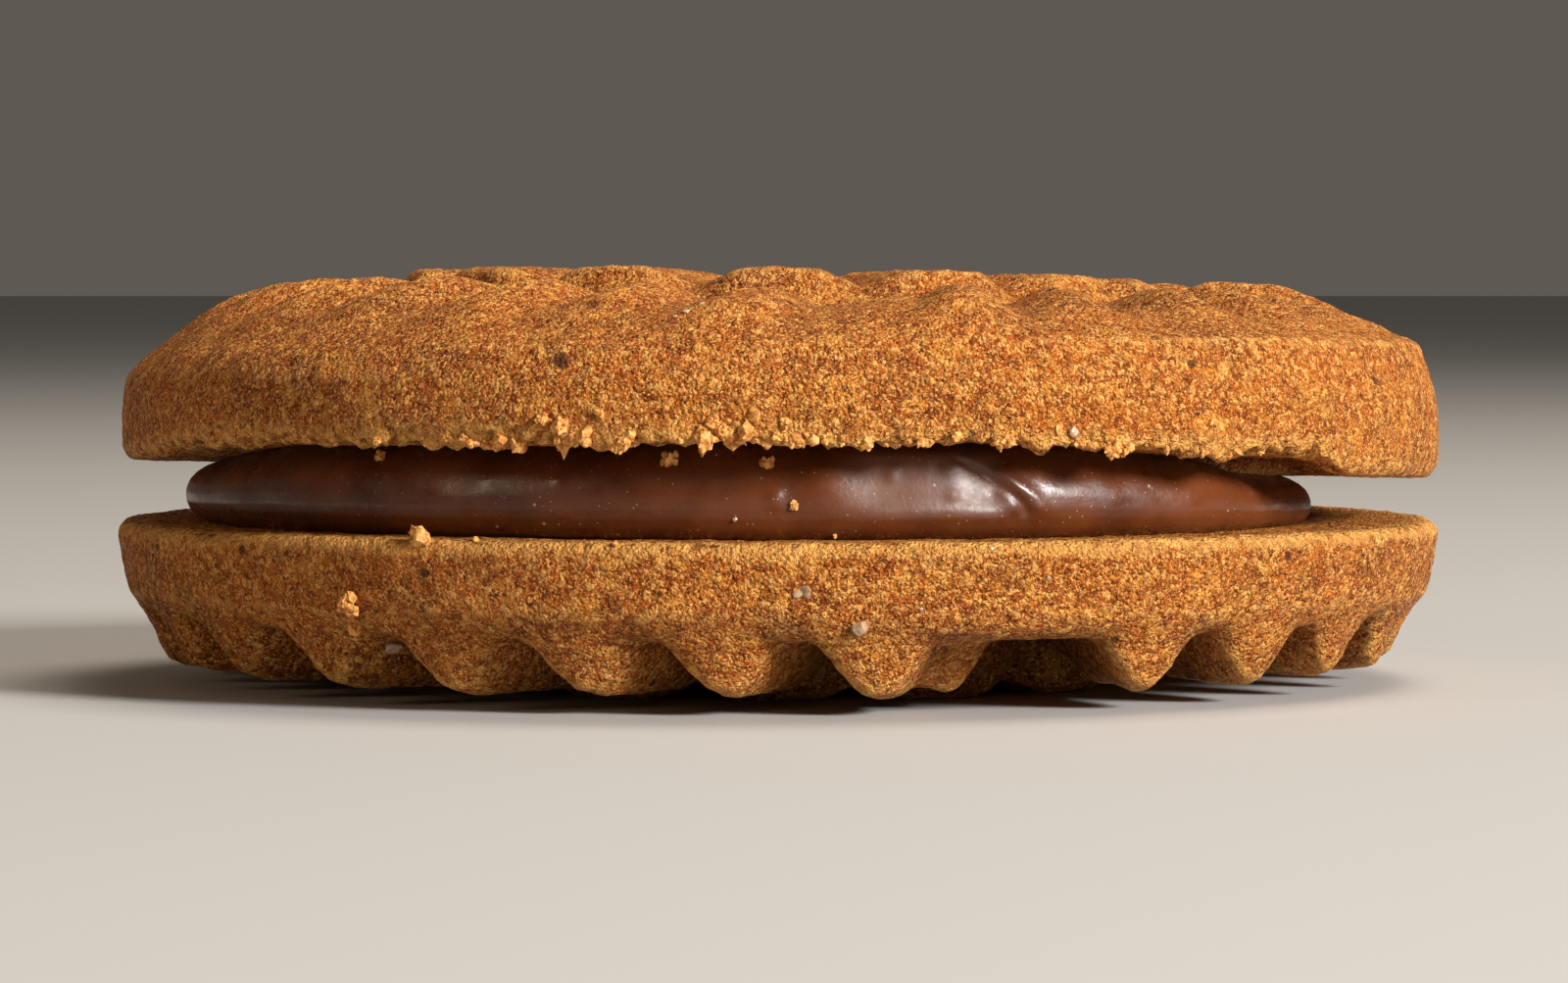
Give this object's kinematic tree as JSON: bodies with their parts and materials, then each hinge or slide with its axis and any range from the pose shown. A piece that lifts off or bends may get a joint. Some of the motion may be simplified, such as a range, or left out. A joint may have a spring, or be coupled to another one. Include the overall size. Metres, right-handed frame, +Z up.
{
  "type": "sandwich cookie",
  "caption": "Round sandwich cookie: moulded biscuits with ribbed rims and a rosette face, joined by a glossy chocolate cream layer that shows as a dark band",
  "frame": {"origin": "bottom centre of the whole cookie, on the surface it lies on", "axes": "+Z up through the three layers, -Y towards the side that the picture shows, +X to the right in the picture"},
  "size_m": [0.045, 0.045, 0.0141],
  "materials": {
    "biscuit_lower": "matt baked biscuit with fine crumbs and a browned surface",
    "chocolate_cream": "smooth glossy chocolate cream",
    "biscuit_upper": "matt baked biscuit with fine crumbs and a browned surface"
  },
  "bodies": {
    "root": {"lower_biscuit": "biscuit_lower", "cream_filling": "chocolate_cream", "upper_biscuit": "biscuit_upper"}
  },
  "joints": []
}
